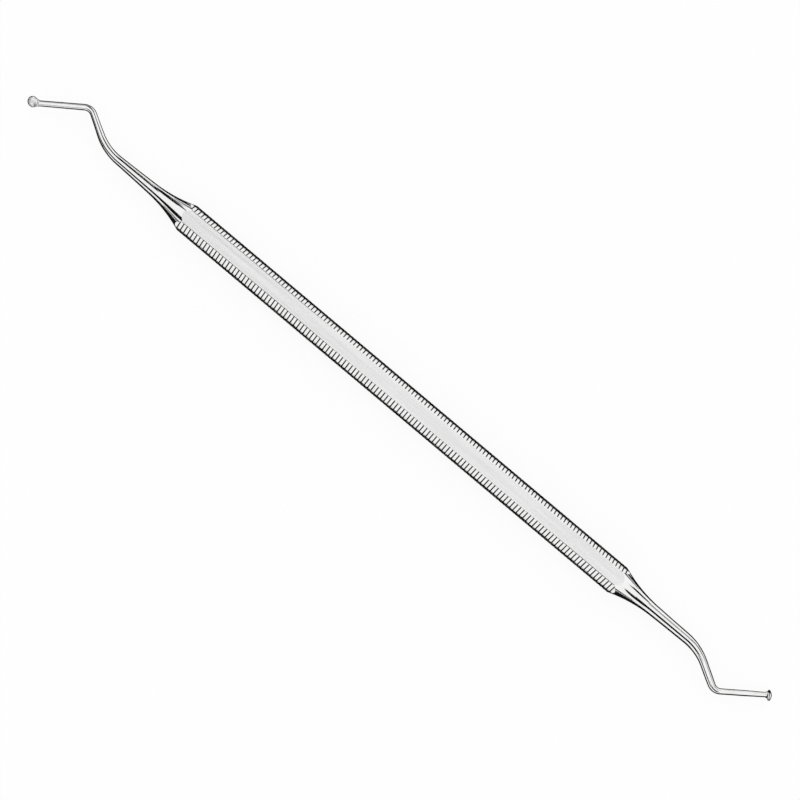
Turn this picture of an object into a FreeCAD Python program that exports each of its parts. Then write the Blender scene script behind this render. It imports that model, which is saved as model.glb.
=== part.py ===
# Dental spoon excavator, double ended, ground and bent from one stainless bar.
# A hexagonal handle runs through turned flares into thin contra-angle shanks,
# each of which curls into a small dished spoon. Millimetres, X along the handle, +Z up,
# origin at the middle of the handle on its axis.
import FreeCAD, Part
import math
import os
import Sketcher
from FreeCAD import Placement, Rotation, Vector

doc = FreeCAD.newDocument("excavator")

# Driving dimensions: name, value, what it is.
SIZES = [
    ("handle_length", 100.0, "shoulder to shoulder"),
    ("across_flats", 5.0, "hexagonal bar"),
    ("corner_round", 0.30, "rounding of the bar's six corners"),
    ("groove_pitch", 0.75, "from one grip groove to the next"),
    ("groove_width", 0.24, "across the mouth of a groove"),
    ("groove_depth", 0.10, "below the flat"),
    ("groove_land", 0.03, "plain strip between a groove's end and the corner rounding"),
    ("waist_distance", 8.5, "shoulder to the end of the hollow-turned flare"),
    ("waist_diameter", 2.26, "end of the flare"),
    ("shank_middle_left", 1.93, "half way from the flare to the first bend"),
    ("shank_middle_right", 2.05, "the right end is the stouter one"),
    ("shank_diameter_left", 1.68, "at the start of the first bend"),
    ("shank_diameter_right", 1.92, "there"),
    ("first_bend_distance", 18.9, "shoulder to the corner point of the first bend"),
    ("first_bend_angle", 30.5, "away from the axis, degrees"),
    ("first_bend_radius", 10.5, "centre line"),
    ("oblique_length", 8.05, "corner point to corner point"),
    ("oblique_diameter_left", 1.38, "at the end of the first bend"),
    ("oblique_diameter_right", 1.48, "there"),
    ("oblique_middle_left", 1.27, "half way between the bends"),
    ("oblique_middle_right", 1.46, "there"),
    ("elbow_diameter_left", 1.23, "at the start of the second bend"),
    ("elbow_diameter_right", 1.38, "there"),
    ("second_bend_angle", 66.3, "back across the axis, degrees"),
    ("second_bend_radius", 1.85, "centre line"),
    ("terminal_diameter_left", 1.17, "at the end of the second bend"),
    ("terminal_diameter_right", 1.12, "there"),
    ("neck_distance", 9.2, "second corner point to the end of the neck"),
    ("terminal_middle_left", 1.13, "half way along the last straight"),
    ("terminal_middle_right", 1.09, "there"),
    ("neck_diameter_left", 1.08, "at the end of the neck"),
    ("neck_diameter_right", 0.95, "there"),
    ("curl_radius", 0.8, "centre line of the curl into the spoon"),
    ("curl_left", 27.0, "turn of the left spoon out of the bend plane, degrees"),
    ("curl_right", 60.0, "turn of the right spoon, to the other side, degrees"),
    ("spoon_diameter", 2.0, "outside the rim"),
    ("spoon_height", 0.50, "rim to the crown of the back"),
    ("rim_height", 0.12, "straight edge under the rim"),
    ("rim_width", 0.10, "flat land of the rim"),
    ("hollow_depth", 0.27, "rim to the bottom of the hollow"),
    ("spoon_shift", 0.08, "spoon centre off the neck's line, to the outside of the elbow"),
    ("root_sink", 0.25, "rim to the middle of the curl's section"),
    ("curl_width", 1.50, "where the curl ends, at the near edge of the spoon"),
    ("curl_thickness", 0.44, "there"),
    ("root_width", 1.74, "where the widened neck dies away under the hollow"),
    ("root_thickness", 0.26, "there"),
    ("root_reach", 0.55, "from the near edge to that place"),
]

sheet = doc.addObject("Spreadsheet::Sheet", "Sizes")
for row, (alias, value, meaning) in enumerate(SIZES, start=1):
    sheet.set("A%d" % row, meaning)
    sheet.set("B%d" % row, str(value))
    sheet.setAlias("B%d" % row, alias)
doc.recompute()


def origin_feature(body, role):
    """One of a body's own base planes or axes."""
    return next(item for item in body.Origin.OriginFeatures if item.Role == role)


def add_sketch(body, name, role):
    """An empty sketch on one of the body's base planes."""
    sketch = body.newObject("Sketcher::SketchObject", name)
    sketch.AttachmentSupport = [(origin_feature(body, role), "")]
    sketch.MapMode = "FlatFace"
    return sketch


def bind(item, **formulas):
    """Tie properties or named constraints to the sheet."""
    for name, formula in formulas.items():
        item.setExpression(name.replace("__", "."), formula)


def constrain(sketch, kind, *where, name=None, formula=None):
    """Add one constraint, and tie it to the sheet when it has a formula."""
    index = sketch.addConstraint(Sketcher.Constraint(kind, *where))
    if name:
        sketch.renameConstraint(index, name)
        sketch.setExpression("Constraints." + name, formula)
    return index


FIRST_STRAIGHT = (
    "(Sizes.first_bend_distance - Sizes.waist_distance"
    " - Sizes.first_bend_radius * tan(Sizes.first_bend_angle / 2))"
)
OBLIQUE_STRAIGHT = (
    "(Sizes.oblique_length - Sizes.first_bend_radius * tan(Sizes.first_bend_angle / 2)"
    " - Sizes.second_bend_radius * tan(Sizes.second_bend_angle / 2))"
)
TERMINAL_STRAIGHT = (
    "(Sizes.neck_distance - Sizes.second_bend_radius * tan(Sizes.second_bend_angle / 2))"
)
CORNER_RADIUS = (
    "((Sizes.across_flats / 2 - Sizes.corner_round) / cos(30) + Sizes.corner_round)"
)


def half_tangent(radius, angle):
    """Length from a bend's corner point to where its arc begins."""
    return radius * math.tan(math.radians(angle / 2))


def corner_radius():
    """From the bar's axis to the outside of a rounded corner."""
    half_flat = sheet.across_flats / 2
    return (half_flat - sheet.corner_round) / math.cos(math.radians(30)) + sheet.corner_round


def make_handle():
    """The hexagonal bar with rounded corners, long enough for the flares at both ends."""
    body = doc.addObject("PartDesign::Body", "Handle")
    half_flat = sheet.across_flats / 2
    rounding = sheet.corner_round
    section = add_sketch(body, "bar_section", "YZ_Plane")
    guide = section.addGeometry(Part.Circle(Vector(), Vector(0, 0, 1), half_flat), True)
    constrain(section, "Coincident", guide, 3, -1, 1)
    constrain(section, "Radius", guide, half_flat, name="half_flat", formula="Sizes.across_flats / 2")
    reach = (half_flat - rounding) / math.cos(math.radians(30))
    side = half_flat * math.tan(math.radians(30)) - rounding * math.tan(math.radians(30))
    sides = []
    for step in range(6):
        turn = Rotation(Vector(0, 0, 1), 60 * step)
        ends = [turn.multVec(Vector(x, -half_flat, 0)) for x in (-side, side)]
        sides.append(section.addGeometry(Part.LineSegment(*ends)))
    corners = []
    for step in range(6):
        bearing = math.radians(60 * step - 60)
        centre = Vector(reach * math.cos(bearing), reach * math.sin(bearing), 0)
        circle = Part.Circle(centre, Vector(0, 0, 1), rounding)
        spread = math.radians(30)
        corners.append(section.addGeometry(Part.ArcOfCircle(circle, bearing - spread, bearing + spread)))
    for step in range(6):
        constrain(section, "Tangent", sides[step], 2, corners[step], 1)
        constrain(section, "Tangent", corners[step], 2, sides[(step + 1) % 6], 1)
        constrain(section, "Tangent", sides[step], guide)
    constrain(section, "Horizontal", sides[0])
    for step in range(1, 6):
        constrain(section, "Equal", corners[0], corners[step])
    for step in range(1, 5):
        constrain(section, "Equal", sides[0], sides[step])
    constrain(section, "Radius", corners[0], rounding, name="rounding", formula="Sizes.corner_round")

    bar = body.newObject("PartDesign::Pad", "bar")
    bar.Profile = section
    bar.SideType = "Symmetric"
    bind(bar, Length="Sizes.handle_length + 2 * Sizes.waist_distance")
    return body


def turn_flares(body):
    """Turn both ends of the bar to a hollow flare that runs out into a slender cone."""
    shoulder = sheet.handle_length / 2
    waist = sheet.waist_diameter / 2
    end = shoulder + sheet.waist_distance
    corner = corner_radius()
    outside = corner + sheet.corner_round
    straight = sheet.first_bend_distance - sheet.waist_distance
    straight -= half_tangent(sheet.first_bend_radius, sheet.first_bend_angle)
    middle = (sheet.shank_middle_left + sheet.shank_middle_right) / 2
    fall = (sheet.waist_diameter - middle) / straight
    lean = math.atan(fall)
    profile = add_sketch(body, "flare_profile", "XZ_Plane")
    # The arc leaves the waist along the cone and passes through the corner at the shoulder.
    across = Vector(shoulder - end, corner - waist, 0)
    away = Vector(math.sin(lean), math.cos(lean), 0)
    radius = across.Length ** 2 / (2 * across.dot(away))
    centre = Vector(end, waist, 0) + away * radius
    finish = -math.pi / 2 - lean
    begin = -math.pi / 2 - math.acos((centre.y - outside) / radius)
    arc = profile.addGeometry(Part.ArcOfCircle(Part.Circle(centre, Vector(0, 0, 1), radius), begin, finish))
    mouth = Vector(centre.x + radius * math.cos(begin), outside, 0)
    top = profile.addGeometry(Part.LineSegment(mouth, Vector(end, outside, 0)))
    face = profile.addGeometry(Part.LineSegment(Vector(end, outside, 0), Vector(end, waist, 0)))
    shoulder_mark = profile.addGeometry(Part.Point(Vector(shoulder, corner, 0)), True)
    cone = profile.addGeometry(
        Part.LineSegment(Vector(end, waist, 0), Vector(end + 1, waist - fall, 0)), True
    )
    constrain(profile, "Coincident", arc, 1, top, 1)
    constrain(profile, "Coincident", top, 2, face, 1)
    constrain(profile, "Coincident", face, 2, arc, 2)
    constrain(profile, "Horizontal", top)
    constrain(profile, "Vertical", face)
    constrain(profile, "PointOnObject", shoulder_mark, 1, arc)
    constrain(profile, "Tangent", cone, 1, arc, 2)
    middle_formula = "(Sizes.shank_middle_left + Sizes.shank_middle_right) / 2"
    fall_formula = "(Sizes.waist_diameter - %s) / %s" % (middle_formula, FIRST_STRAIGHT)
    driven = [
        ("DistanceX", (-1, 1, shoulder_mark, 1, shoulder), "shoulder", "Sizes.handle_length / 2"),
        ("DistanceY", (-1, 1, shoulder_mark, 1, corner), "corner", CORNER_RADIUS),
        ("DistanceX", (-1, 1, face, 2, end), "stock_end", "Sizes.handle_length / 2 + Sizes.waist_distance"),
        ("DistanceY", (-1, 1, face, 2, waist), "waist", "Sizes.waist_diameter / 2"),
        ("DistanceY", (-1, 1, face, 1, outside), "outside", CORNER_RADIUS + " + Sizes.corner_round"),
        ("DistanceX", (cone, 1, cone, 2, 1.0), "cone_run", "1"),
        ("DistanceY", (cone, 2, cone, 1, fall), "cone_fall", fall_formula),
    ]
    for kind, where, name, formula in driven:
        constrain(profile, kind, *where, name=name, formula=formula)
    flare = body.newObject("PartDesign::Groove", "flare")
    flare.Profile = profile
    flare.ReferenceAxis = (profile, ["H_Axis"])
    flare.Angle = 360
    doc.recompute()
    other = body.newObject("PartDesign::Mirrored", "other_flare")
    other.Originals = [flare]
    other.MirrorPlane = (origin_feature(body, "YZ_Plane"), [""])
    body.Tip = other


def cut_grip(body):
    """Cut the rows of V grooves across the four flats beside the plain top and bottom."""
    half_flat = sheet.across_flats / 2
    count = math.floor(sheet.handle_length / sheet.groove_pitch)
    first = -(count - 1) / 2 * sheet.groove_pitch
    depth = sheet.groove_depth
    width = sheet.groove_width
    profile = add_sketch(body, "groove_profile", "XZ_Plane")
    profile.AttachmentOffset = Placement(Vector(), Rotation(Vector(1, 0, 0), 60))
    root = Vector(first, half_flat - depth, 0)
    rims = [Vector(first + side * width, half_flat + depth, 0) for side in (-1, 1)]
    loop = [root, rims[1], rims[0]]
    for here, there in zip(loop, loop[1:] + loop[:1]):
        profile.addGeometry(Part.LineSegment(here, there))
    for line in range(3):
        constrain(profile, "Coincident", line, 2, (line + 1) % 3, 1)
    first_formula = "(floor(Sizes.handle_length / Sizes.groove_pitch) - 1) / 2 * Sizes.groove_pitch"
    driven = [
        ("DistanceX", (0, 1, -1, 1, -first), "first", first_formula),
        ("DistanceY", (-1, 1, 0, 1, root.y), "root", "Sizes.across_flats / 2 - Sizes.groove_depth"),
        ("DistanceY", (0, 1, 0, 2, 2 * depth), "rise", "2 * Sizes.groove_depth"),
        ("DistanceX", (0, 1, 0, 2, width), "half_mouth", "Sizes.groove_width"),
        ("DistanceX", (1, 2, 1, 1, 2 * width), "mouth", "2 * Sizes.groove_width"),
    ]
    for kind, where, name, formula in driven:
        constrain(profile, kind, *where, name=name, formula=formula)
    constrain(profile, "Horizontal", 1)
    groove = body.newObject("PartDesign::Pocket", "groove")
    groove.Profile = profile
    groove.SideType = "Symmetric"
    bind(groove, Length="2 * (Sizes.across_flats / 2 - Sizes.corner_round) * tan(30) - 2 * Sizes.groove_land")
    doc.recompute()
    grip = body.newObject("PartDesign::MultiTransform", "grip")
    grip.Originals = [groove]
    along = body.newObject("PartDesign::LinearPattern", "grooves_along")
    along.Direction = (profile, ["H_Axis"])
    bind(
        along,
        Length="(floor(Sizes.handle_length / Sizes.groove_pitch) - 1) * Sizes.groove_pitch",
        Occurrences="floor(Sizes.handle_length / Sizes.groove_pitch)",
    )
    over = body.newObject("PartDesign::Mirrored", "to_other_side")
    over.MirrorPlane = (origin_feature(body, "XZ_Plane"), [""])
    under = body.newObject("PartDesign::Mirrored", "to_underside")
    under.MirrorPlane = (origin_feature(body, "XY_Plane"), [""])
    grip.Transformations = [along, over, under]
    body.Tip = grip


def make_shank(name, end):
    """One bent shank, from the end of the flare to the end of the neck, as the right-hand end."""
    body = doc.addObject("PartDesign::Body", name)
    first = math.radians(sheet.first_bend_angle)
    second = math.radians(sheet.second_bend_angle)
    radii = (sheet.first_bend_radius, sheet.second_bend_radius)
    spine = add_sketch(body, name + "_line", "XY_Plane")
    start = Vector(sheet.handle_length / 2 + sheet.waist_distance, 0, 0)
    first_tangent = half_tangent(radii[0], sheet.first_bend_angle)
    second_tangent = half_tangent(radii[1], sheet.second_bend_angle)
    lengths = (
        sheet.first_bend_distance - sheet.waist_distance - first_tangent,
        sheet.oblique_length - first_tangent - second_tangent,
        sheet.neck_distance - second_tangent,
    )
    # Walk along the centre line: straight, bend down, straight, bend back up, straight.
    heading = 0.0
    here = start
    for leg, (length, bend) in enumerate(zip(lengths, (-first, second, None))):
        ahead = Vector(math.cos(heading), math.sin(heading), 0)
        there = here + ahead * length
        spine.addGeometry(Part.LineSegment(here, there))
        here = there
        if bend is None:
            continue
        side = math.copysign(1, bend)
        centre = here + Vector(-ahead.y, ahead.x, 0) * side * radii[leg]
        begin = heading - side * math.pi / 2
        ends = sorted((begin, begin + bend))
        circle = Part.Circle(centre, Vector(0, 0, 1), radii[leg])
        spine.addGeometry(Part.ArcOfCircle(circle, *ends))
        heading += bend
        here = centre + Vector(math.sin(heading), -math.cos(heading), 0) * side * radii[leg]
    # An arc runs anticlockwise, so the first bend starts at its second end.
    for here_end, there_end in (((0, 2), (1, 2)), ((1, 1), (2, 1)), ((2, 2), (3, 1)), ((3, 2), (4, 1))):
        constrain(spine, "Tangent", *here_end, *there_end)
    constrain(spine, "PointOnObject", 0, 1, -1)
    constrain(spine, "PointOnObject", 0, 2, -1)
    turn_back = "(Sizes.second_bend_angle - Sizes.first_bend_angle) * 1 deg"
    driven = [
        ("DistanceX", (-1, 1, 0, 1, start.x), "start", "Sizes.handle_length / 2 + Sizes.waist_distance"),
        ("Distance", (0, lengths[0]), "first_straight", FIRST_STRAIGHT),
        ("Radius", (1, radii[0]), "first_radius", "Sizes.first_bend_radius"),
        ("Distance", (2, lengths[1]), "oblique_straight", OBLIQUE_STRAIGHT),
        ("Radius", (3, radii[1]), "second_radius", "Sizes.second_bend_radius"),
        ("Distance", (4, lengths[2]), "terminal_straight", TERMINAL_STRAIGHT),
        ("Angle", (-1, 1, 2, 1, -first), "oblique_angle", "-Sizes.first_bend_angle * 1 deg"),
        ("Angle", (-1, 1, 4, 1, second - first), "terminal_angle", turn_back),
    ]
    for kind, where, label, formula in driven:
        constrain(spine, kind, *where, name=label, formula=formula)
    doc.recompute()

    # Round sections square to the centre line: edge, place along it, size in the sheet.
    stations = [
        (1, 0.0, "waist_diameter"),
        (1, 0.5, "shank_middle_" + end),
        (1, 1.0, "shank_diameter_" + end),
        (3, 0.0, "oblique_diameter_" + end),
        (3, 0.5, "oblique_middle_" + end),
        (3, 1.0, "elbow_diameter_" + end),
        (5, 0.0, "terminal_diameter_" + end),
        (5, 0.5, "terminal_middle_" + end),
        (5, 1.0, "neck_diameter_" + end),
    ]
    sections = []
    for edge, place, alias in stations:
        section = body.newObject("Sketcher::SketchObject", name + "_" + alias)
        section.AttachmentSupport = [(spine, "Edge%d" % edge)]
        section.MapMode = "NormalToEdge"
        section.MapPathParameter = place
        diameter = getattr(sheet, alias)
        section.addGeometry(Part.Circle(Vector(), Vector(0, 0, 1), diameter / 2))
        constrain(section, "Coincident", 0, 3, -1, 1)
        constrain(section, "Diameter", 0, diameter, name="size", formula="Sizes." + alias)
        sections.append(section)
    doc.recompute()
    # A straight swells between three sections, a bend tapers between two.
    for edge, (begin, end) in enumerate(((0, 3), (2, 4), (3, 6), (5, 7), (6, 9)), start=1):
        used = sections[begin:end]
        pipe = body.newObject("PartDesign::AdditivePipe", "%s_run_%d" % (name, edge))
        pipe.Profile = used[0]
        pipe.Spine = (spine, ["Edge%d" % edge])
        pipe.Transformation = "Multisection"
        pipe.Sections = [(section, [""]) for section in used[1:]]
        doc.recompute()
    return body


def disc_profile(points_before, arc_ends, centre_z, points_after):
    """Half outline of a turned form in the XZ plane, one stretch of it an arc about the Z axis."""
    start, finish = arc_ends
    middle_angle = (
        math.atan2(start.z - centre_z, start.x) + math.atan2(finish.z - centre_z, finish.x)
    ) / 2
    radius = math.hypot(start.x, start.z - centre_z)
    middle = Vector(radius * math.cos(middle_angle), 0, centre_z + radius * math.sin(middle_angle))
    edges = [Part.Arc(start, middle, finish).toShape()]
    line = [finish, *points_after, *points_before, start]
    edges += [Part.LineSegment(here, there).toShape() for here, there in zip(line, line[1:])]
    return Part.Face(Part.Wire(Part.sortEdges(edges)[0]))


def spoon_shape(curl, neck):
    """The neck's curl towards +Z with the dished spoon on it, along +X from the end of the neck."""
    turn = math.radians(curl)
    radius = sheet.spoon_diameter / 2
    sections = [
        (0.0, 0.0, 0.0, neck, neck),
        (0.5, 0.3, 0.0, (neck + sheet.curl_width) / 2, (neck + sheet.curl_thickness) / 2),
        (1.0, 0.7, 0.0, sheet.curl_width, sheet.curl_thickness),
        (1.0, 1.0, sheet.root_reach, sheet.root_width, sheet.root_thickness),
    ]
    wires = []
    for share, shift, beyond, width, thickness in sections:
        angle = share * turn
        place = Vector(
            sheet.curl_radius * math.sin(angle) + beyond * math.cos(angle),
            -shift * sheet.spoon_shift,
            sheet.curl_radius * (1 - math.cos(angle)) + beyond * math.sin(angle),
        )
        ahead = Vector(math.cos(angle), 0, math.sin(angle))
        side_point = place + Vector(0, width / 2, 0)
        top_point = place + Vector(-math.sin(angle), 0, math.cos(angle)) * (thickness / 2)
        if width - thickness < 1e-6:
            ring = Part.Circle(place, ahead, width / 2)
            ring.XAxis = Vector(0, 1, 0)
        else:
            ring = Part.Ellipse(side_point, top_point, place)
        wires.append(Part.Wire([ring.toShape()]))
    root = Part.makeLoft(wires, True, False)

    # The spoon itself, turned about Z with its rim at zero, then tipped to the curl.
    crown = -sheet.spoon_height
    edge = Vector(radius, 0, -sheet.rim_height)
    sag = sheet.spoon_height - sheet.rim_height
    back_centre = crown + (radius ** 2 + sag ** 2) / (2 * sag)
    dish = disc_profile(
        [Vector(radius, 0, 0)], (edge, Vector(0, 0, crown)), back_centre, [Vector(0, 0, 0)]
    ).revolve(Vector(), Vector(0, 0, 1), 360)
    mouth = radius - sheet.rim_width
    depth = sheet.hollow_depth
    hollow_centre = -depth + (mouth ** 2 + depth ** 2) / (2 * depth)
    clear = radius + sheet.rim_width / 4
    above = neck
    scoop = disc_profile(
        [Vector(0, 0, above), Vector(clear, 0, above), Vector(clear, 0, 0)],
        (Vector(mouth, 0, 0), Vector(0, 0, -depth)),
        hollow_centre,
        [],
    ).revolve(Vector(), Vector(0, 0, 1), 360)
    out = Vector(math.cos(turn), 0, math.sin(turn))
    up = Vector(-math.sin(turn), 0, math.cos(turn))
    curl_end = Vector(
        sheet.curl_radius * math.sin(turn), 0, sheet.curl_radius * (1 - math.cos(turn))
    )
    centre = curl_end + out * radius + up * sheet.root_sink - Vector(0, sheet.spoon_shift, 0)
    tip = Placement(centre, Rotation(Vector(0, 1, 0), -curl))
    dish.Placement = tip
    scoop.Placement = tip
    return root.fuse(dish).cut(scoop).removeSplitter()


def add_spoon(name, curl, neck, side):
    """A spoon as a document object, curled to +Z or, with side -1, to -Z."""
    spoon = doc.addObject("Part::Feature", name)
    shape = spoon_shape(curl, neck)
    if side < 0:
        shape = shape.mirror(Vector(), Vector(0, 0, 1))
    spoon.Shape = shape
    return spoon


def place_end(shank, spoon, half_turn):
    """Set a shank and its spoon on their end of the handle."""
    shank.Placement = Placement(Vector(), Rotation(Vector(0, 0, 1), half_turn))
    first = math.radians(sheet.first_bend_angle)
    back = math.radians(sheet.second_bend_angle - sheet.first_bend_angle)
    shoulder = sheet.handle_length / 2
    neck_end = Vector(
        shoulder
        + sheet.first_bend_distance
        + sheet.oblique_length * math.cos(first)
        + sheet.neck_distance * math.cos(back),
        -sheet.oblique_length * math.sin(first) + sheet.neck_distance * math.sin(back),
        0,
    )
    heading = Rotation(Vector(0, 0, 1), math.degrees(back))
    spoon.Placement = shank.Placement.multiply(Placement(neck_end, heading))


handle = make_handle()
cut_grip(handle)
turn_flares(handle)
right_shank = make_shank("Right_shank", "right")
left_shank = make_shank("Left_shank", "left")
right_spoon = add_spoon("Right_spoon", sheet.curl_right, sheet.neck_diameter_right, -1)
left_spoon = add_spoon("Left_spoon", sheet.curl_left, sheet.neck_diameter_left, 1)
place_end(right_shank, right_spoon, 0)
place_end(left_shank, left_spoon, 180)
excavator = doc.addObject("Part::MultiFuse", "Excavator")
excavator.Label = "spoon_excavator"
excavator.Shapes = [handle, right_shank, left_shank, right_spoon, left_spoon]
excavator.Refine = True
doc.recompute()

# Nothing is written unless every object is sound.
for item in doc.Objects:
    if {"Invalid", "Error"} & set(item.State):
        raise RuntimeError("%s failed: %s" % (item.Label, item.State))
for item in (handle, right_shank, left_shank, right_spoon, left_spoon, excavator):
    if item.Shape.isNull() or not item.Shape.isValid():
        raise RuntimeError("%s has no valid shape" % item.Label)
if len(excavator.Shape.Solids) != 1:
    raise RuntimeError("the instrument is not one solid")

os.makedirs("parts", exist_ok=True)
excavator.Shape.exportStep("parts/%s.step" % excavator.Label)
print(excavator.Label, "volume", round(excavator.Shape.Volume, 2), "faces", len(excavator.Shape.Faces))
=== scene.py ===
# %% [markdown]
# # A double-ended dental spoon excavator
# The real one is a single bar of stainless steel. Its middle stays a hexagon, its ends are turned
# down, bent and ground, and each tip is a round spoon two millimetres wide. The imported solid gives
# its place, so the first cell loads it and keeps its box.

# %% Load the frame
import math
import bmesh
import bpy
from mathutils import Matrix, Vector


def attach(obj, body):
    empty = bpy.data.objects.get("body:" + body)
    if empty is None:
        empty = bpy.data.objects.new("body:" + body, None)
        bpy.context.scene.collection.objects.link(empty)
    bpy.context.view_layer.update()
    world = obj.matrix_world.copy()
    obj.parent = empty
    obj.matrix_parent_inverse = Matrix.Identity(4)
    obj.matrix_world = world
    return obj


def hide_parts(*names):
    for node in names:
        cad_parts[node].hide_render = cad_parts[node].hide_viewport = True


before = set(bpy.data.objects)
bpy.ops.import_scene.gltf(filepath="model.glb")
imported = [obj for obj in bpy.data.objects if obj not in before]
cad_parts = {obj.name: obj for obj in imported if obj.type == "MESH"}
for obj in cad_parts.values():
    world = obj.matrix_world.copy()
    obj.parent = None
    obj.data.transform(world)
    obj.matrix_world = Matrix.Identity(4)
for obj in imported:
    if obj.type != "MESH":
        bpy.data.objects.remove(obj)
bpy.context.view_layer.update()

# %% [markdown]
# ## Sizes of the handle
# The sizes are the real ones in millimetres, the same that the solid was made from, and angles are
# written in degrees. The mesh is modelled in millimetres and shrunk to metres at the end, which
# keeps the numbers readable. The handle is straight between its two shoulders, and from each of
# them it is turned down to a round waist. The radius to its rounded corners and the width of a flat
# follow from the size across the flats, so both are worked out.

# %% Sizes of the handle
MM = 0.001
HANDLE_LENGTH = 100.0
ACROSS_FLATS = 5.0
CORNER_ROUND = 0.30
WAIST_DISTANCE = 8.5
WAIST_DIAMETER = 2.26

HALF_FLAT = ACROSS_FLATS / 2
SHOULDER = HANDLE_LENGTH / 2
WAIST = SHOULDER + WAIST_DISTANCE
HALF_SIDE = math.radians(30)
CORNER_RADIUS = (HALF_FLAT - CORNER_ROUND) / math.cos(HALF_SIDE) + CORNER_ROUND
FLAT_WIDTH = 2 * (HALF_FLAT - CORNER_ROUND) * math.tan(HALF_SIDE)
print("waist at", WAIST, "mm, corners at", round(CORNER_RADIUS, 3), "mm")
print("each flat is", round(FLAT_WIDTH, 2), "mm wide")

# %% [markdown]
# ## Finishes and objects
# The instrument is one stainless steel in four finishes. Every face says by its number which one it
# has, and keeps that number through a cut. A form is modelled as a bmesh and then written to an
# object, whose four slots hold the finishes in the same order.

# %% From a bmesh to an object
FINISHES = ("satin_stainless", "polished_stainless", "shaded_ground_stainless", "dished_stainless")
SATIN, POLISHED, SHADED_GROUND, DISHED = range(len(FINISHES))
WELD = 1e-5


def to_object(name, bm, finish):
    """A bmesh in millimetres as an object, every face with one finish."""
    bmesh.ops.remove_doubles(bm, verts=bm.verts[:], dist=WELD)
    bmesh.ops.recalc_face_normals(bm, faces=bm.faces[:])
    for face in bm.faces:
        face.material_index = finish
    mesh = bpy.data.meshes.new(name)
    bm.to_mesh(mesh)
    bm.free()
    for slot in FINISHES:
        mesh.materials.append(bpy.data.materials.get(slot) or bpy.data.materials.new(slot))
    shape = bpy.data.objects.new(name, mesh)
    bpy.context.scene.collection.objects.link(shape)
    return shape


print("finishes:", ", ".join(FINISHES))

# %% [markdown]
# ## The hexagonal bar
# A maker buys this bar drawn to shape, with its six corners already rounded. Here a six-sided
# circle gets its corners bevelled and is then pulled out along X, as the bar is drawn. Like the
# maker's, it is cut a little longer than the part that is turned.

# %% The bar
CORNER_STEPS = 10
BAR_SPARE = 2.0


def hexagonal_bar(length):
    bm = bmesh.new()
    across = Matrix.Rotation(math.radians(90), 4, "Y")
    bmesh.ops.create_circle(
        bm, cap_ends=True, segments=6, radius=HALF_FLAT / math.cos(HALF_SIDE), matrix=across
    )
    bmesh.ops.bevel(
        bm, geom=bm.verts[:], offset=CORNER_ROUND * math.tan(HALF_SIDE), offset_type="OFFSET",
        affect="VERTICES", segments=CORNER_STEPS, profile=0.5, material=-1,
    )
    bmesh.ops.translate(bm, verts=bm.verts[:], vec=(-length / 2, 0, 0))
    pulled = bmesh.ops.extrude_face_region(bm, geom=bm.faces[:])["geom"]
    far = [item for item in pulled if isinstance(item, bmesh.types.BMVert)]
    bmesh.ops.translate(bm, verts=far, vec=(length, 0, 0))
    return bm


excavator = to_object("excavator", hexagonal_bar(2 * (WAIST + BAR_SPARE)), SATIN)
lowest = min(vert.co.z for vert in excavator.data.vertices)
widest = max(vert.co.y for vert in excavator.data.vertices)
print("bar rests at", round(lowest, 3), "mm, corners reach", round(widest, 3), "mm")

# %% [markdown]
# ## The centre line
# Each shank is three straights and two bends. The straights are measured from corner to corner, as
# if the bends were sharp, and the first one from the shoulder. A rounded bend then takes away the
# same length from both of its straights.

# %% Straights and bends
FIRST_BEND_DISTANCE = 18.9
FIRST_BEND_ANGLE = 30.5
FIRST_BEND_RADIUS = 10.5
OBLIQUE_LENGTH = 8.05
SECOND_BEND_ANGLE = 66.3
SECOND_BEND_RADIUS = 1.85
NECK_DISTANCE = 9.2


def tangent_length(radius, angle):
    return radius * math.tan(math.radians(angle) / 2)


FIRST_TANGENT = tangent_length(FIRST_BEND_RADIUS, FIRST_BEND_ANGLE)
SECOND_TANGENT = tangent_length(SECOND_BEND_RADIUS, SECOND_BEND_ANGLE)
# Length or bend radius, turn to the left in degrees, steps in the mesh.
RUNS = [
    (FIRST_BEND_DISTANCE - WAIST_DISTANCE - FIRST_TANGENT, 0, 8),
    (FIRST_BEND_RADIUS, -FIRST_BEND_ANGLE, 24),
    (OBLIQUE_LENGTH - FIRST_TANGENT - SECOND_TANGENT, 0, 6),
    (SECOND_BEND_RADIUS, SECOND_BEND_ANGLE, 32),
    (NECK_DISTANCE - SECOND_TANGENT, 0, 16),
]
print("straights", [round(size, 2) for size, angle, _ in RUNS if not angle], "mm")

# %% [markdown]
# ## The flares
# The real bar turns in a lathe while a tool follows a large arc down to the round shank. Where the
# arc runs out of the hexagon it leaves the curved edges that end each flat. A round form with the
# same outline is modelled first: the arc is spun from one vertex, mirrored for the other end and
# spun again round X. The arc meets the straight shank without a kink, so its centre lies square to
# the shank's slight taper, and it runs on a little past the bar's corners.

# %% The turned envelope
ARC_STEPS = 40
ROUND_STEPS = 96
ARC_OVER = 0.4
# Diameters from the middle of the first straight to the neck. The right end is the stouter one.
LEFT_DIAMETERS = (1.93, 1.68, 1.38, 1.27, 1.23, 1.17, 1.13, 1.08)
RIGHT_DIAMETERS = (2.05, 1.92, 1.48, 1.46, 1.38, 1.12, 1.09, 0.95)


def cap(bm):
    """Close every open loop with one flat face."""
    rims = [edge for edge in bm.edges if edge.is_boundary]
    bmesh.ops.holes_fill(bm, edges=rims, sides=0)


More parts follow.
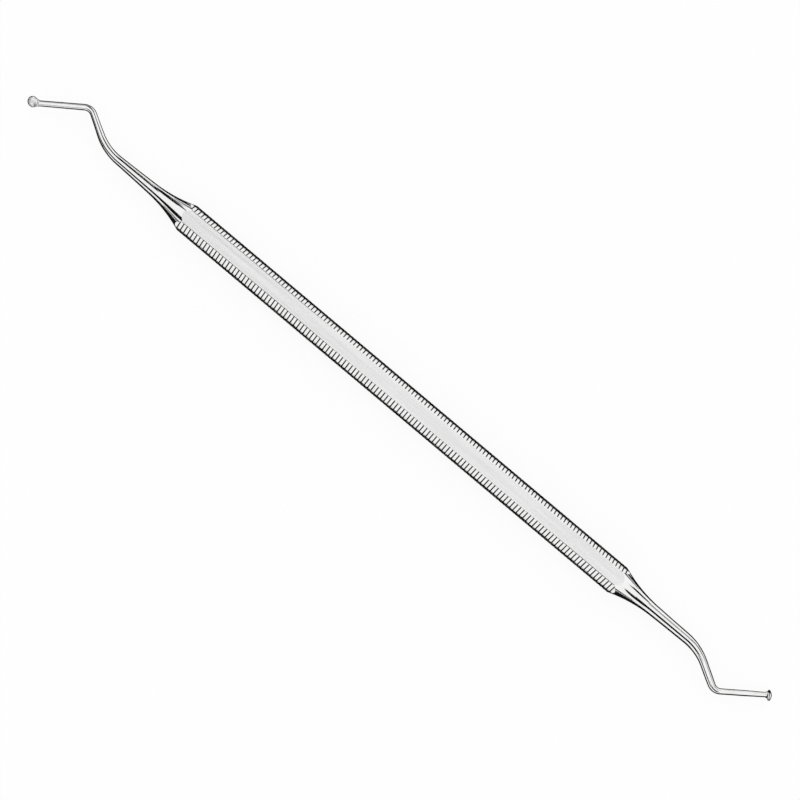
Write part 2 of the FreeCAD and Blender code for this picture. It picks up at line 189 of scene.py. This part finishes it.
def turned_envelope():
    bm = bmesh.new()
    waist = Vector((WAIST, 0, WAIST_DIAMETER / 2))
    corner = Vector((SHOULDER, 0, CORNER_RADIUS))
    straight = RUNS[0][0]
    middle = (LEFT_DIAMETERS[0] + RIGHT_DIAMETERS[0]) / 2
    lean = math.atan((WAIST_DIAMETER - middle) / straight)
    away = Vector((math.sin(lean), 0, math.cos(lean)))
    chord = corner - waist
    arc_radius = chord.length_squared / (2 * chord.dot(away))
    centre = waist + away * arc_radius
    sweep = math.acos((centre.z - CORNER_RADIUS - ARC_OVER) / arc_radius) + lean
    seed = bmesh.ops.create_vert(bm, co=waist)["vert"]
    bmesh.ops.spin(
        bm, geom=seed, cent=centre, axis=(0, 1, 0), angle=sweep, steps=ARC_STEPS, use_merge=False,
    )
    bmesh.ops.mirror(bm, geom=bm.verts[:] + bm.edges[:], axis="X", merge_dist=0)
    inner = sorted(bm.verts, key=lambda vert: abs(vert.co.x))[:2]
    bmesh.ops.contextual_create(bm, geom=inner)
    bmesh.ops.spin(
        bm, geom=bm.verts[:] + bm.edges[:], cent=(0, 0, 0), axis=(1, 0, 0),
        angle=math.radians(360), steps=ROUND_STEPS, use_merge=True,
    )
    print("flare arc radius", round(arc_radius, 2), "mm")
    cap(bm)
    return bm


envelope = to_object("envelope", turned_envelope(), POLISHED)

# %% [markdown]
# What the bar and the turned form have in common is the handle with its two flares. A boolean
# modifier finds that overlap, or cuts or joins, and what it leaves becomes the target's new mesh.

# %% Turn the bar
def boolean(target, tool, operation):
    """Cut, join or keep the overlap of two objects, and drop the tool."""
    modifier = target.modifiers.new("boolean", "BOOLEAN")
    modifier.operation = operation
    modifier.solver = "EXACT"
    modifier.object = tool
    graph = bpy.context.evaluated_depsgraph_get()
    cut = bpy.data.meshes.new_from_object(target.evaluated_get(graph))
    target.modifiers.clear()
    target.data = cut
    bpy.data.objects.remove(tool)
    print(target.name, operation.lower(), "leaves", len(cut.polygons), "faces")


boolean(excavator, envelope, "INTERSECT")

# %% [markdown]
# ## Diameters along a shank
# A shank gets thinner from its waist to its neck, though not evenly. Its diameter is given at nine
# places: the waist, the middle and the end of each straight, and the end of each bend. Between them
# it follows a smooth curve.

# %% Diameters along a shank
# The length of each straight and bend, and how far from the waist it begins and ends.
LENGTHS = [size * math.radians(abs(angle)) if angle else size for size, angle, _ in RUNS]
ENDS = [sum(LENGTHS[:i]) for i in range(len(RUNS) + 1)]
PLACES = [
    0, ENDS[1] / 2, ENDS[1], ENDS[2], (ENDS[2] + ENDS[3]) / 2, ENDS[3], ENDS[4],
    (ENDS[4] + ENDS[5]) / 2, ENDS[5],
]


def smooth_between(places, values, at):
    """A smooth curve through a few values, read at one place."""
    last = len(places) - 1
    slopes = []
    for i in range(last + 1):
        low, high = max(i - 1, 0), min(i + 1, last)
        slopes.append((values[high] - values[low]) / (places[high] - places[low]))
    i = min(sum(place <= at for place in places), last) - 1
    span = places[i + 1] - places[i]
    t = (at - places[i]) / span
    return (
        (2 * t ** 3 - 3 * t ** 2 + 1) * values[i]
        + (t ** 3 - 2 * t ** 2 + t) * span * slopes[i]
        + (3 * t ** 2 - 2 * t ** 3) * values[i + 1]
        + (t ** 3 - t ** 2) * span * slopes[i + 1]
    )


print("diameters are given at", [round(place, 1) for place in PLACES], "mm from the waist")

# %% [markdown]
# ## Stations along a shank
# Each shank is bent twice, so that its spoon comes back near the line of the handle. A list of
# stations walks along its centre line: each has a frame, whose X looks ahead, and the width and
# thickness there. A bend is many small turns about a point beside the line.

# %% Walk along the centre line
def turn_step(radius, angle, axis):
    """One step of a bend to the left, or upwards about Y, as a matrix."""
    arm = Vector((0, radius, 0)) if axis == "Z" else Vector((0, 0, radius))
    sign = 1 if axis == "Z" else -1
    arm = arm if angle > 0 else -arm
    turn = Matrix.Rotation(math.radians(angle) * sign, 4, axis)
    return Matrix.Translation(arm) @ turn @ Matrix.Translation(-arm)


def shank_stations(start, diameters):
    """Frames and diameters from the waist to the end of the neck."""
    stations = []
    here = start.copy()
    gone = 0.0
    for (size, angle, steps), length in zip(RUNS, LENGTHS):
        step = Matrix.Translation((size / steps, 0, 0))
        if angle:
            step = turn_step(size, angle / steps, "Z")
        for _ in range(steps):
            here = here @ step
            gone += length / steps
            diameter = smooth_between(PLACES, (WAIST_DIAMETER, *diameters), min(gone, ENDS[5]))
            stations.append((here.copy(), diameter, diameter))
    print("centre line from waist to neck end:", round(gone, 2), "mm")
    return stations


shanks = []
for half_turns, diameters in ((0, RIGHT_DIAMETERS), (1, LEFT_DIAMETERS)):
    turned = Matrix.Rotation(half_turns * math.pi, 4, "Z")
    start = turned @ Matrix.Translation((WAIST, 0, 0))
    stations = shank_stations(start, diameters)
    shanks.append((start, stations))
    print("neck ends at", [round(value, 2) for value in stations[-1][0].translation])

# %% [markdown]
# ## The curls
# Behind its spoon the neck curls out of the plane of the bends, and flattens and widens. It ends in
# a root, which runs on straight into the spoon's back. Its sections are ellipses, so the same list
# of stations carries them. The spoon sits a little to one side of the neck, as in the photograph,
# so the sections slide across too. The right spoon is turned down and the left one up.

# %% The curls
CURL_LEFT = 27
CURL_RIGHT = 60
CURL_RADIUS = 0.8
CURL_WIDTH = 1.50
CURL_THICKNESS = 0.44
CURL_STEPS = 12
ROOT_WIDTH = 1.74
ROOT_THICKNESS = 0.26
ROOT_REACH = 0.55
ROOT_SINK = 0.25
SPOON_DIAMETER = 2.0
SPOON_SHIFT = 0.08


def curl_stations(start, neck, curl, side):
    """Frames, widths and thicknesses from the neck to the root inside the spoon."""
    # The curl is the first half of the way, and the root is the second.
    shares = [0, 0.5, 1, 2]
    widths = [neck, (neck + CURL_WIDTH) / 2, CURL_WIDTH, ROOT_WIDTH]
    depths = [neck, (neck + CURL_THICKNESS) / 2, CURL_THICKNESS, ROOT_THICKNESS]
    shifts = [0, 0.3 * SPOON_SHIFT, 0.7 * SPOON_SHIFT, SPOON_SHIFT]
    stations = []
    here = start.copy()
    for i in range(1, 2 * CURL_STEPS + 1):
        share = i / CURL_STEPS
        step = Matrix.Translation((ROOT_REACH / CURL_STEPS, 0, 0))
        if share <= 1:
            step = turn_step(CURL_RADIUS, side * curl / CURL_STEPS, "Y")
        here = here @ step
        aside = Matrix.Translation((0, -smooth_between(shares, shifts, share), 0))
        width = smooth_between(shares, widths, share)
        depth = smooth_between(shares, depths, share)
        stations.append((here @ aside, width, depth))
        if i == CURL_STEPS:
            out = Matrix.Translation((SPOON_DIAMETER / 2, -SPOON_SHIFT, side * ROOT_SINK))
            tip = here @ out
    return stations, tip


tips = []
for (_, stations), (curl, side) in zip(shanks, ((CURL_RIGHT, -1), (CURL_LEFT, 1))):
    neck, diameter, _ = stations[-1]
    curled, tip = curl_stations(neck, diameter, curl, side)
    stations.extend(curled)
    tips.append((tip, side))
    print("spoon turned by", curl, "degrees at", [round(value, 2) for value in tip.translation])

# %% [markdown]
# ## Draw the shanks out of the bar
# The open end of the flare is a ring of edges. It is extruded again and again, and each new ring is
# carried from the last station to the next, so bar, shank and neck are one skin, as on the real
# piece, which is ground from one bar.

# %% Extrude the rings
AT_WAIST = 1e-4


def extrude_ring(bm, ring):
    """Extrude a loop of edges. Gives the new edges and their vertices."""
    grown = bmesh.ops.extrude_edge_only(bm, edges=ring)["geom"]
    verts = [item for item in grown if isinstance(item, bmesh.types.BMVert)]
    fresh = set(verts)
    edges = [
        item for item in grown
        if isinstance(item, bmesh.types.BMEdge) and set(item.verts) <= fresh
    ]
    return edges, verts


def draw_out(bm, ring, start, width, stations):
    """Extrude a ring through all stations and close the last one."""
    here, wide, deep = start, width, width
    for there, next_wide, next_deep in stations:
        ring, verts = extrude_ring(bm, ring)
        grow = Matrix.Diagonal((1, next_wide / wide, next_deep / deep, 1))
        bmesh.ops.transform(bm, matrix=there @ grow @ here.inverted(), verts=verts)
        here, wide, deep = there, next_wide, next_deep
    bmesh.ops.contextual_create(bm, geom=ring)


bm = bmesh.new()
bm.from_mesh(excavator.data)
for end, (start, stations) in zip((1, -1), shanks):
    caps = [
        face for face in bm.faces if all(end * vert.co.x > WAIST - AT_WAIST for vert in face.verts)
    ]
    bmesh.ops.delete(bm, geom=caps, context="FACES_ONLY")
    ring = [edge for edge in bm.edges if edge.is_boundary]
    draw_out(bm, ring, start, WAIST_DIAMETER, stations)
for face in bm.faces:
    if max(abs(vert.co.x) for vert in face.verts) > WAIST + AT_WAIST:
        face.material_index = POLISHED
bmesh.ops.recalc_face_normals(bm, faces=bm.faces[:])
bm.to_mesh(excavator.data)
bm.free()
print("the bar with its shanks has", len(excavator.data.polygons), "faces")

# %% [markdown]
# ## The spoons
# A real spoon is ground: a ball-shaped back, a narrow rim, and a shallow hollow. Both faces are
# balls here too. An arc is spun from one vertex on the axis, and the arc is spun round it. The back
# is joined to the root first, and the hollow is cut through both. The back starts a little too
# high, and the hollow's cutter widens above its mouth, so that it also grinds the rim flat.

# %% Back and hollow
SPOON_HEIGHT = 0.50
RIM_HEIGHT = 0.12
RIM_WIDTH = 0.10
HOLLOW_DEPTH = 0.27
CUP_STEPS = 20
RIM_SPARE = 0.10
CUTTER_OVER = 0.025
CUTTER_HEIGHT = 1.0


def ball_cup(bottom, rim, depth):
    """A spun cup: its bottom on the axis, its open rim as wide and as high as given."""
    bm = bmesh.new()
    ball = (rim ** 2 + depth ** 2) / (2 * depth)
    seed = bmesh.ops.create_vert(bm, co=(0, 0, bottom))["vert"]
    bmesh.ops.spin(
        bm, geom=seed, cent=(0, 0, bottom + ball), axis=(0, 1, 0),
        angle=-math.asin(rim / ball), steps=CUP_STEPS, use_merge=False,
    )
    bmesh.ops.spin(
        bm, geom=bm.verts[:] + bm.edges[:], cent=(0, 0, 0), axis=(0, 0, 1),
        angle=math.radians(360), steps=ROUND_STEPS, use_merge=True,
    )
    bmesh.ops.remove_doubles(bm, verts=bm.verts[:], dist=WELD)
    return bm


def spoon_back():
    bm = ball_cup(-SPOON_HEIGHT, SPOON_DIAMETER / 2, SPOON_HEIGHT - RIM_HEIGHT)
    rim = [edge for edge in bm.edges if edge.is_boundary]
    _, verts = extrude_ring(bm, rim)
    bmesh.ops.translate(bm, verts=verts, vec=(0, 0, RIM_HEIGHT + RIM_SPARE))
    cap(bm)
    return bm


def spoon_hollow():
    mouth = SPOON_DIAMETER / 2 - RIM_WIDTH
    bm = ball_cup(-HOLLOW_DEPTH, mouth, HOLLOW_DEPTH)
    rim = [edge for edge in bm.edges if edge.is_boundary]
    ring, verts = extrude_ring(bm, rim)
    wider = (SPOON_DIAMETER / 2 + CUTTER_OVER) / mouth
    bmesh.ops.scale(bm, vec=(wider, wider, 1), verts=verts)
    _, verts = extrude_ring(bm, ring)
    bmesh.ops.translate(bm, verts=verts, vec=(0, 0, CUTTER_HEIGHT))
    cap(bm)
    return bm


for tip, side in tips:
    for bm, finish, operation in (
        (spoon_back(), POLISHED, "UNION"), (spoon_hollow(), DISHED, "DIFFERENCE"),
    ):
        bmesh.ops.scale(bm, vec=(1, 1, side), verts=bm.verts[:])
        bmesh.ops.transform(bm, matrix=tip, verts=bm.verts[:])
        boolean(excavator, to_object("spoon", bm, finish), operation)

# %% [markdown]
# ## The grip grooves
# Four of the six flats have a row of fine cross grooves, so that the handle doesn't slip in a wet
# glove. One cutter is a small three-sided bar with its point down. It is copied along each row, and
# each row is cut in one boolean, because two rows would meet at the bar's side corners. The last
# groove at either end lies where the flare begins, which leaves only the middle of it. A cutter
# stands a little above its flat and reaches past both edges into the rounded corners.

# %% The grooves
GROOVED_FLATS = (60, 120, 240, 300)
GROOVE_PITCH = 0.75
GROOVE_WIDTH = 0.24
GROOVE_DEPTH = 0.10
GROOVE_RISE = 0.08
GROOVE_OVER = 0.30


def groove_row(row):
    """Cutters for one flat, points towards the axis."""
    bm = bmesh.new()
    count = int(HANDLE_LENGTH / GROOVE_PITCH) + 2
    first = -(count - 1) * GROOVE_PITCH / 2
    height = GROOVE_DEPTH + GROOVE_RISE
    mouth = GROOVE_WIDTH * height / GROOVE_DEPTH
    length = FLAT_WIDTH + 2 * GROOVE_OVER
    # The cone's three corners lie on a circle of radius 1, so it is 1.5 high and 1.732 wide.
    shape = Matrix.Diagonal((mouth / math.sqrt(3), length, height / 1.5, 1))
    upright = Matrix.Rotation(math.radians(-90), 4, "X")
    lean = Matrix.Rotation(math.radians(row), 4, "X")
    middle = HALF_FLAT - GROOVE_DEPTH + height * 2 / 3
    for i in range(count):
        place = Matrix.Translation((first + i * GROOVE_PITCH, 0, middle))
        bmesh.ops.create_cone(
            bm, cap_ends=True, segments=3, radius1=1, radius2=1, depth=1,
            matrix=lean @ place @ shape @ upright,
        )
    low = min((lean.inverted() @ vert.co).z for vert in bm.verts)
    wide = max(vert.co.x for vert in bm.verts) - min(vert.co.x for vert in bm.verts)
    print(count, "grooves down to", round(low, 3), "mm over", round(wide, 2), "mm")
    return bm


# The cut faces of each row take the groove finish, whose dark colour is painted shade.
for row in GROOVED_FLATS:
    boolean(excavator, to_object("grooves", groove_row(row), SHADED_GROUND), "DIFFERENCE")

# %% [markdown]
# ## Smooth and sharp edges
# A turned or bent surface is drawn smooth. An edge stays sharp where two faces meet at more than a
# few degrees, and all round each flat, so that the flats stay optically flat up to their corners.
# The same cell tells the polished rim of each spoon from its duller hollow.

# %% Shade the mesh
SHARP_ANGLE = 12
# Seen along X, one flat looks out at 30 degrees, and the others follow every 60 degrees.
FIRST_FLAT = 30
FLAT_EVERY = 60
FLAT_SLACK = 0.005
LENGTHWISE = 0.01
UPRIGHT = 0.9
AT_RIM = 1e-3

bm = bmesh.new()
bm.from_mesh(excavator.data)
bmesh.ops.remove_doubles(bm, verts=bm.verts[:], dist=WELD)


def is_flat(face):
    """A face of the bar that looks straight along one of its six sides."""
    if face.material_index != SATIN or abs(face.normal.x) > LENGTHWISE:
        return False
    turn = math.degrees(math.atan2(face.normal.z, face.normal.y))
    sides = (turn - FIRST_FLAT) / FLAT_EVERY
    return abs(sides - round(sides)) < FLAT_SLACK


def is_rim(face):
    """A face of the hollow's cutter that lies in a spoon's mouth, where the rim is flat."""
    middle = face.calc_center_median()
    return face.material_index == DISHED and any(
        abs((tip.inverted() @ middle).z) < AT_RIM for tip, side in tips
    )


flats = {face for face in bm.faces if is_flat(face)}
rims = {face for face in bm.faces if is_rim(face)}
# Only the two plain flats, which look up and down, keep the satin.
for face in bm.faces:
    if face.material_index == SATIN and not (face in flats and abs(face.normal.z) > UPRIGHT):
        face.material_index = POLISHED
    if face in rims:
        face.material_index = POLISHED
for edge in bm.edges:
    edge.smooth = (
        len(edge.link_faces) == 2 and edge.calc_face_angle(0) < math.radians(SHARP_ANGLE)
    )
    if len(set(edge.link_faces) & flats) == 1:
        edge.smooth = False
for face in bm.faces:
    face.smooth = True
bmesh.ops.scale(bm, vec=(MM, MM, MM), verts=bm.verts[:])
bm.to_mesh(excavator.data)
bm.free()
print(len(flats), "flat faces and", len(rims), "rim faces of", len(excavator.data.polygons))

# %% [markdown]
# ## Finishes
# A function adds a node with its settings and its links. Another turns the sRGB colours that a
# designer writes into the linear ones that the shader needs.

# %% Node helper and colours
def linear(code):
    """An sRGB hex colour as linear RGBA."""
    parts = [int(code[i:i + 2], 16) / 255 for i in (1, 3, 5)]
    return [c / 12.92 if c <= 0.04045 else ((c + 0.055) / 1.055) ** 2.4 for c in parts] + [1]


def add_node(tree, kind, settings=None, inputs=None):
    """A node with its properties set, and its inputs set or linked from another node's output."""
    node = tree.nodes.new(kind)
    for key, value in (settings or {}).items():
        setattr(node, key, value)
    for key, value in (inputs or {}).items():
        if isinstance(value, bpy.types.NodeSocket):
            tree.links.new(value, node.inputs[key])
        else:
            node.inputs[key].default_value = value
    return node


def start_material(name):
    """A material with an empty tree."""
    material = bpy.data.materials.get(name) or bpy.data.materials.new(name)
    material.use_nodes = True
    material.node_tree.nodes.clear()
    return material


print("white is", linear("#ffffff"), "and mid grey", round(linear("#808080")[0], 3))

# %% [markdown]
# ## Satin stainless steel
# The flats are stainless steel, rubbed lengthwise with a fine abrasive belt. The belt leaves
# hairlines a few hundredths of a millimetre wide and some millimetres long, which blur a reflection
# mostly across them. Noise stretched along X draws them, for roughness, height and a faint change
# of tone.

# %% Grain helper and satin flats
def stretched_noise(tree, size, detail=3.0, rough=0.6):
    """Noise whose grains have the given size in millimetres along X, Y and Z."""
    spot = add_node(tree, "ShaderNodeTexCoord")
    grains = [1 / (part * MM) for part in size]
    placed = add_node(tree, "ShaderNodeMapping", inputs={
        "Vector": spot.outputs["Object"], "Scale": grains,
    })
    noise = add_node(tree, "ShaderNodeTexNoise", inputs={
        "Vector": placed.outputs["Vector"], "Scale": 1.0, "Detail": detail, "Roughness": rough,
    })
    return noise.outputs["Fac"]


def spread(tree, value, low, high):
    """Noise, which mostly lies between 0.3 and 0.7, carried to a range of its own."""
    return add_node(tree, "ShaderNodeMapRange", inputs={
        "Value": value, "From Min": 0.3, "From Max": 0.7, "To Min": low, "To Max": high,
    }).outputs["Result"]


def metal(name, dark, light, tone, roughness, height, depth):
    """Bare metal from two tones, a roughness and a height, each with its own pattern."""
    material = start_material(name)
    tree = material.node_tree
    # Inputs 6 and 7 and output 2 of a Mix node are its colour ones.
    colour = add_node(tree, "ShaderNodeMix", {"data_type": "RGBA"}, {
        "Factor": tone(tree), 6: linear(dark), 7: linear(light),
    })
    relief = add_node(tree, "ShaderNodeBump", inputs={
        "Height": height(tree), "Strength": 0.6, "Distance": depth * MM,
    })
    shader = add_node(tree, "ShaderNodeBsdfPrincipled", inputs={
        "Base Color": colour.outputs[2], "Metallic": 1.0, "Roughness": roughness(tree),
        "Normal": relief.outputs["Normal"],
    })
    add_node(tree, "ShaderNodeOutputMaterial", inputs={"Surface": shader.outputs["BSDF"]})
    print("finish", name, "has", len(tree.nodes), "nodes")
    return material


# The hairlines are drawn 0.12 mm wide, twice as coarse as a fine belt leaves them, so that they show.
HAIRLINE = (9.0, 0.12, 0.12)
metal(
    "satin_stainless", "#e2e2e2", "#f4f4f4",
    tone=lambda tree: spread(tree, stretched_noise(tree, (25.0, 0.6, 0.6)), 0.2, 1.0),
    roughness=lambda tree: spread(tree, stretched_noise(tree, HAIRLINE), 0.26, 0.40),
    height=lambda tree: stretched_noise(tree, HAIRLINE),
    depth=0.004,
)

# %% [markdown]
# ## Polished stainless steel
# Flares, shanks and spoons are buffed on a felt wheel after bending, and the wheel takes the grooved
# flats and the corners with it. That leaves a mirror with a slight haze and wave.

# %% Polished ends
metal(
    "polished_stainless", "#eeeeed", "#f6f6f6",
    tone=lambda tree: spread(tree, stretched_noise(tree, (1.5, 1.5, 1.5)), 0.0, 1.0),
    roughness=lambda tree: spread(tree, stretched_noise(tree, (0.8, 0.25, 0.25)), 0.03, 0.08),
    height=lambda tree: stretched_noise(tree, (1.6, 0.5, 0.5), 1.0),
    depth=0.003,
)

# %% [markdown]
# ## Ground grooves
# Each groove is cut by the edge of a thin wheel and isn't polished, so it is duller and a little
# darker. Most of its dark colour is painted shade for the shade down in each narrow groove.

# %% Ground grooves
# The two dark colours are mostly painted shade for the narrow recess of each groove. The unpolished
# cut itself only makes it duller.
metal(
    "shaded_ground_stainless", "#5c5c5c", "#7c7c7c",
    tone=lambda tree: spread(tree, stretched_noise(tree, (0.3, 0.8, 0.8)), 0.0, 1.0),
    roughness=lambda tree: spread(tree, stretched_noise(tree, (0.05, 0.5, 0.5)), 0.12, 0.20),
    height=lambda tree: stretched_noise(tree, (0.05, 0.6, 0.6)),
    depth=0.003,
)

# %% [markdown]
# ## The hollows
# The hollow of a spoon is ground with a small round stone and only lightly buffed. It stays a little
# duller than the back, so it looks evenly light instead of mirroring the room.

# %% Dished hollows
metal(
    "dished_stainless", "#eeeeee", "#f8f8f8",
    tone=lambda tree: spread(tree, stretched_noise(tree, (0.3, 0.3, 0.3)), 0.0, 1.0),
    roughness=lambda tree: spread(tree, stretched_noise(tree, (0.15, 0.15, 0.15)), 0.30, 0.42),
    height=lambda tree: stretched_noise(tree, (0.12, 0.12, 0.12)),
    depth=0.002,
)

# %% [markdown]
# ## Hand the piece to the frame
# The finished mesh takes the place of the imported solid, on the one body that there is, and belongs
# to the same steel. Its object stays at the origin, because the mesh already has its place.

# %% Join the frame
excavator.name = excavator.data.name = "excavator"
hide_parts("spoon_excavator")
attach(excavator, "root")
print(excavator.name, "has", len(excavator.data.polygons), "faces")

# %% [markdown]
# ## The floor
# The instrument lies on plain white paper. The camera and the reflections see the paper as nearly
# pure white, and a tenth of it still answers to the light, which keeps the soft shadow.

# %% Floor
FLOOR_REACH = 1500
GLOW_SHARE = 0.9


def sheet(name, low, high):
    """A rectangle between two corners in millimetres, level or standing square to X, for the stage."""
    bm = bmesh.new()
    stand = Matrix.Rotation(math.pi / 2, 4, "Y") if low[0] == high[0] else Matrix()
    bmesh.ops.create_grid(bm, x_segments=1, y_segments=1, size=0.5, matrix=stand)
    low, high = Vector(low), Vector(high)
    bmesh.ops.scale(bm, vec=(high - low) * MM, verts=bm.verts[:])
    bmesh.ops.translate(bm, vec=(high + low) / 2 * MM, verts=bm.verts[:])
    mesh = bpy.data.meshes.new(name)
    bm.to_mesh(mesh)
    bm.free()
    staged = bpy.data.objects.new(name, mesh)
    bpy.context.scene.collection.objects.link(staged)
    return staged


floor = sheet(
    "floor", (-FLOOR_REACH, -FLOOR_REACH, -HALF_FLAT), (FLOOR_REACH, FLOOR_REACH, -HALF_FLAT)
)
paper = start_material("white_paper")
tree = paper.node_tree
path = add_node(tree, "ShaderNodeLightPath")
matt = add_node(tree, "ShaderNodeBsdfDiffuse", inputs={"Color": linear("#f6f6f6")})
glow = add_node(tree, "ShaderNodeEmission", inputs={"Color": (1, 1, 1, 1), "Strength": 1.0})
seen = path.outputs["Is Camera Ray"]
for other in ("Is Glossy Ray", "Is Transmission Ray"):
    seen = add_node(tree, "ShaderNodeMath", {"operation": "MAXIMUM"}, {
        0: seen, 1: path.outputs[other],
    }).outputs["Value"]
share = add_node(tree, "ShaderNodeMath", {"operation": "MULTIPLY"}, {0: seen, 1: GLOW_SHARE})
mixed = add_node(tree, "ShaderNodeMixShader", inputs={
    0: share.outputs["Value"], 1: matt.outputs["BSDF"], 2: glow.outputs["Emission"],
})
add_node(tree, "ShaderNodeOutputMaterial", inputs={"Surface": mixed.outputs["Shader"]})
floor.data.materials.append(paper)
print("floor at", -HALF_FLAT, "mm,", 2 * FLOOR_REACH, "mm wide")

# %% [markdown]
# ## Light
# Bright metal shows what is round it. It stands in a white tent, which is the world at a strength
# of 1. The tent is so even that a polished shank would vanish in it, so a photographer draws its
# outlines with black cards. A card is felt here, and only the reflections show it.

# %% The white tent and the felt
world = bpy.data.worlds.new("tent")
bpy.context.scene.world = world
world.use_nodes = True
world.node_tree.nodes.clear()
tent = add_node(world.node_tree, "ShaderNodeBackground", inputs={
    "Color": (1, 1, 1, 1), "Strength": 1.0,
})
add_node(world.node_tree, "ShaderNodeOutputWorld", inputs={"Surface": tent.outputs["Background"]})

FELT = linear("#161616")
black = start_material("black_felt")
felt = add_node(black.node_tree, "ShaderNodeBsdfDiffuse", inputs={"Color": FELT})
add_node(black.node_tree, "ShaderNodeOutputMaterial", inputs={"Surface": felt.outputs["BSDF"]})
print("tent strength", tent.inputs["Strength"].default_value, "and felt", round(FELT[0], 3))

# %% [markdown]
# The edges of a round shank look down at the floor, so cards that lie there draw its outlines. The
# card under the handle is narrow, and its width sets how thick the outlines are. The floor beyond
# the right spoon keeps one side free, which leaves white patches on the spoon's back.

# %% Low cards
CARD_LIFT = 0.05
LOW = CARD_LIFT - HALF_FLAT


def black_card(name, low, high):
    """A black card that only the reflections show."""
    card = sheet(name, low, high)
    card.data.materials.append(black)
    card.visible_camera = card.visible_diffuse = card.visible_shadow = False
    card.visible_transmission = False


def level_cards(height, corners):
    """Level cards at one height, each from its corner nearest to minus X and Y to the other."""
    for name, (left, near, right, far) in corners.items():
        black_card(name, (left, near, height), (right, far, height))
    print(len(corners), "cards at", round(height, 2), "mm")


level_cards(LOW, {
    "low_card": (-54, -9.8, 54, 6.85),
    "low_card_left_flare": (-68, -22, -54, 19),
    "low_card_left": (-200, -70, -68, 70),
    "low_card_right_flare": (54, -26, 68, 22),
    "low_card_right": (68, -70, 87.2, 70),
    "low_card_end": (87.2, -70, 200, -1),
})

# %% [markdown]
# Nearer to its middle a shank looks up past the camera into the tent. Level cards up there draw the
# two streaks along each shank, and more of them widen the streaks on the flares, where the slope
# throws the reflection further out. One card lies where the left spoon's flat rim looks, and draws
# its dark ring. Each card covers only what one place sees, so the handle's flats stay light.

# %% High cards
HIGH = 300
level_cards(HIGH, {
    "far_left_strip": (-160, 95, -35, 330),
    "far_left_end": (-400, 230, -160, 500),
    "near_left_strip": (-360, -700, -35, -205),
    "middle_strip": (-35, -384, 62, -240),
    "rim_card": (110, 240, 200, 335),
    "far_right_strip": (62, 146, 160, 202),
    "far_right_end": (200, 215, 320, 340),
    "near_right_strip": (62, -384, 220, -86),
    "near_right_end": (220, -450, 330, -190),
    "far_left_side": (-330, 500, -215, 850),
    "far_left_corner": (-480, 540, -330, 700),
    "far_left_wing": (-600, 700, -330, 1500),
    "near_left_wing": (-600, -800, -360, -205),
    "far_right_side": (200, 340, 340, 520),
})

# At that height two places on the flares look at the same spots as the tips do. Lower down their
# lines of sight are apart, so the cards for the flares alone hang there.
MIDDLE = 100
level_cards(MIDDLE, {
    "left_flare_card": (-134, 64, -92, 170),
    "right_flare_card": (100, -110, 138, -42),
})

# %% [markdown]
# The last straights lie across the handle's line, so their edges look out past its ends. Standing
# boards there give them the same dark outlines: a long one far out at either end, and a small one
# close to each tip. They stay low, so that the handle is bright from the sides too.

# %% Standing boards
def standing_board(name, x, near, far, top):
    """A board that stands on the floor, square to X."""
    black_card(name, (x, near, -HALF_FLAT), (x, far, top))
    print(name, "at", x, "mm is", top + HALF_FLAT, "mm high")


standing_board("left_board", -600, -1300, 1300, 150)
standing_board("right_board", 600, -1300, 1300, 150)
standing_board("left_end_board", -130, -100, 75, 24)
standing_board("right_end_board", 130, -85, 95, 24)

# %% [markdown]
# ## Camera
# The photograph looks almost straight down, from a little on the near side, with the instrument
# across the picture's diagonal. A long lens half a metre away keeps the perspective as weak as it
# is there.

# %% Camera
LENS = 126.37
CAMERA_DISTANCE = 500
LOOK_AT = (-0.159, -0.395, 0)
TOWARDS_NEAR_SIDE = 7
TOWARDS_RIGHT = 0.230
PICTURE_TURN = 40.073

turn = (
    Matrix.Rotation(math.radians(TOWARDS_NEAR_SIDE), 4, "X")
    @ Matrix.Rotation(math.radians(TOWARDS_RIGHT), 4, "Y")
    @ Matrix.Rotation(math.radians(PICTURE_TURN), 4, "Z")
)
lens = bpy.data.cameras.new("camera")
lens.lens = LENS
lens.sensor_width = 36
camera = bpy.data.objects.new("camera", lens)
camera.matrix_world = (
    Matrix.Translation(Vector(LOOK_AT) * MM) @ turn
    @ Matrix.Translation((0, 0, CAMERA_DISTANCE * MM))
)
bpy.context.scene.collection.objects.link(camera)
bpy.context.scene.camera = camera
bpy.context.scene.view_settings.view_transform = "Standard"
print("camera at", [round(value / MM, 1) for value in camera.matrix_world.translation], "mm")
